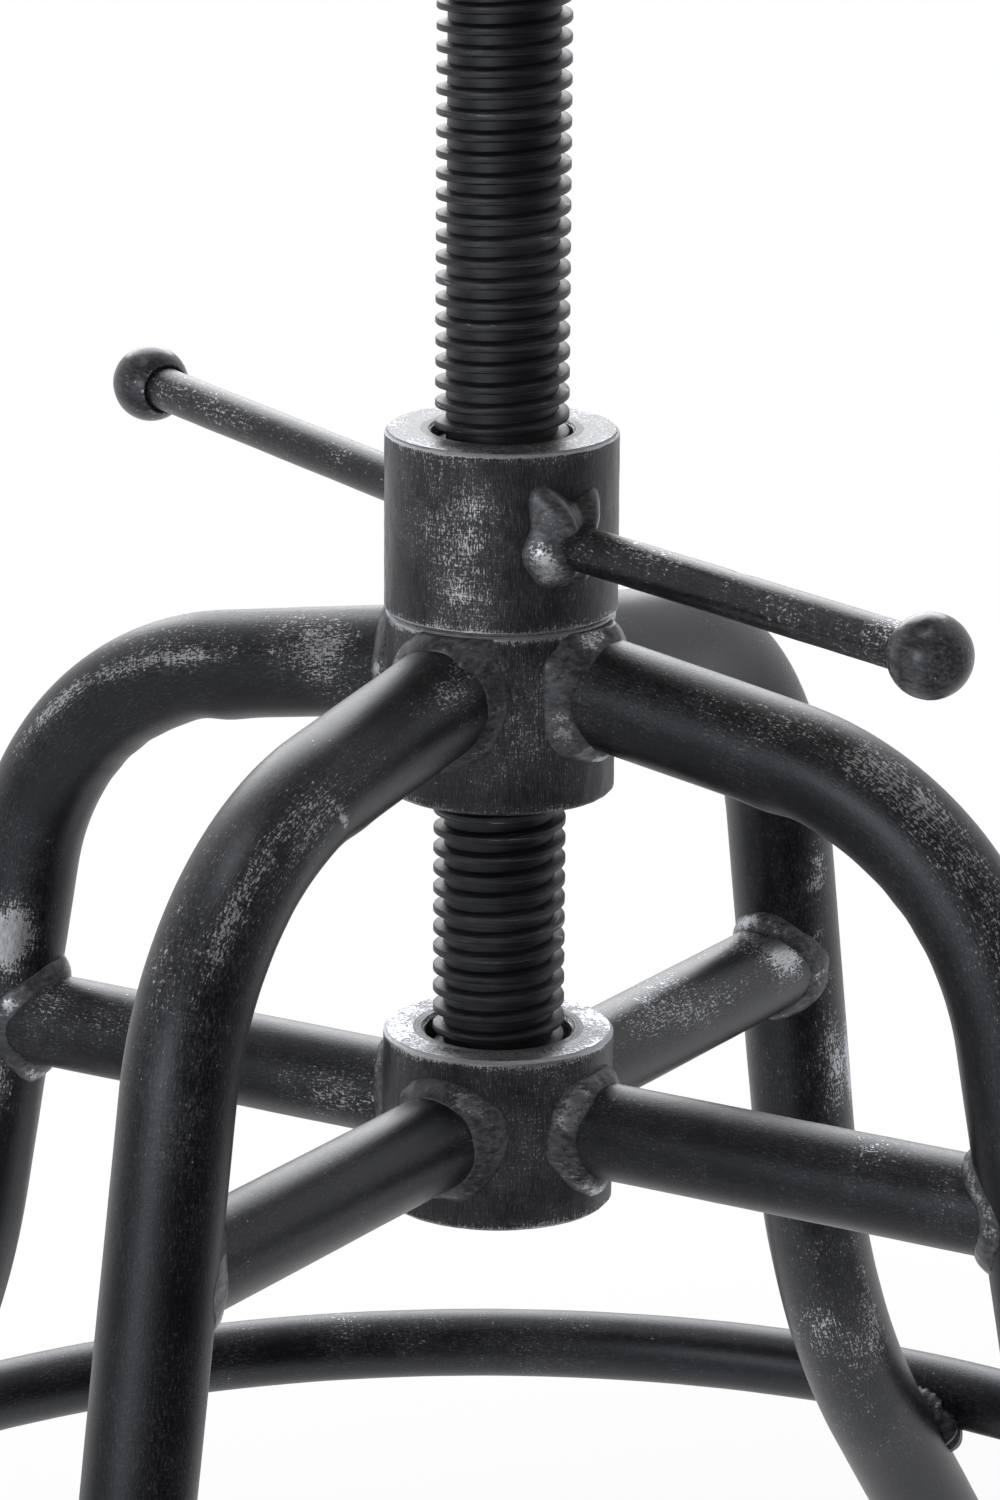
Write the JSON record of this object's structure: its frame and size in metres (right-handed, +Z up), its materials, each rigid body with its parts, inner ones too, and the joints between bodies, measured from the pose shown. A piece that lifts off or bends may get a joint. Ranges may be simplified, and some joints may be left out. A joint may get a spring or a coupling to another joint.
{
  "type": "saddle bar stool",
  "caption": "Height-adjustable bar stool: bent-tube steel base with foot ring, screw spindle raised by a T-bar nut, and a swivelling carved wooden saddle seat.",
  "frame": {"origin": "on the floor, on the spindle's axis", "axes": "+Z up along the spindle, the seat's front towards -Y, the legs on the diagonals of X and Y"},
  "size_m": [0.4914, 0.4914, 0.82],
  "materials": {
    "black_steel": "charcoal paint rubbed back to silver on the high spots",
    "worn_steel": "charcoal paint brushed and worn to bare steel",
    "weld_steel": "ground weld metal under thin charcoal paint",
    "spindle_steel": "blackened satin steel",
    "zinc": "zinc plated",
    "nylon": "natural nylon",
    "rubber": "matt black rubber",
    "wood": "oiled hardwood"
  },
  "bodies": {
    "base": {"upper_hub": "worn_steel", "lower_hub": "worn_steel", "leg_1": "black_steel", "leg_2": "black_steel", "leg_3": "black_steel", "leg_4": "black_steel", "brace_1": "black_steel", "brace_2": "black_steel", "brace_3": "black_steel", "brace_4": "black_steel", "foot_ring": "black_steel", "upper_hub_welds": "weld_steel", "lower_hub_welds": "weld_steel", "brace_leg_welds": "weld_steel", "foot_ring_welds": "weld_steel", "foot_cap_1": "rubber", "foot_cap_2": "rubber", "foot_cap_3": "rubber", "foot_cap_4": "rubber"},
    "t_bar_nut": {"adjuster_nut": "worn_steel", "handle_rod_1": "black_steel", "handle_rod_2": "black_steel", "handle_ball_1": "black_steel", "handle_ball_2": "black_steel", "handle_welds": "weld_steel"},
    "spindle": {"spindle": "spindle_steel", "retaining_washer": "zinc", "retaining_screw": "zinc", "thrust_washer": "nylon"},
    "seat": {"seat_socket": "black_steel", "seat_plate": "black_steel", "seat_socket_weld": "weld_steel", "seat_screws": "zinc", "saddle_seat": "wood"}
  },
  "joints": [
    {"name": "handle_turn", "type": "hinge", "parent": "base", "child": "t_bar_nut", "pos_m": [0, 0, 0.415], "axis": [0, 0, 1], "range_deg": [0, 14400]},
    {"name": "seat_height", "type": "slide", "parent": "base", "child": "spindle", "axis": [0, 0, 1], "range_m": [-0.2, 0]},
    {"name": "seat_swivel", "type": "hinge", "parent": "spindle", "child": "seat", "pos_m": [0, 0, 0.71], "axis": [0, 0, 1], "continuous": true}
  ],
  "couplings": [
    {"joint": "seat_height", "follows": "handle_turn", "m_per_rad": -0.00079577}
  ]
}
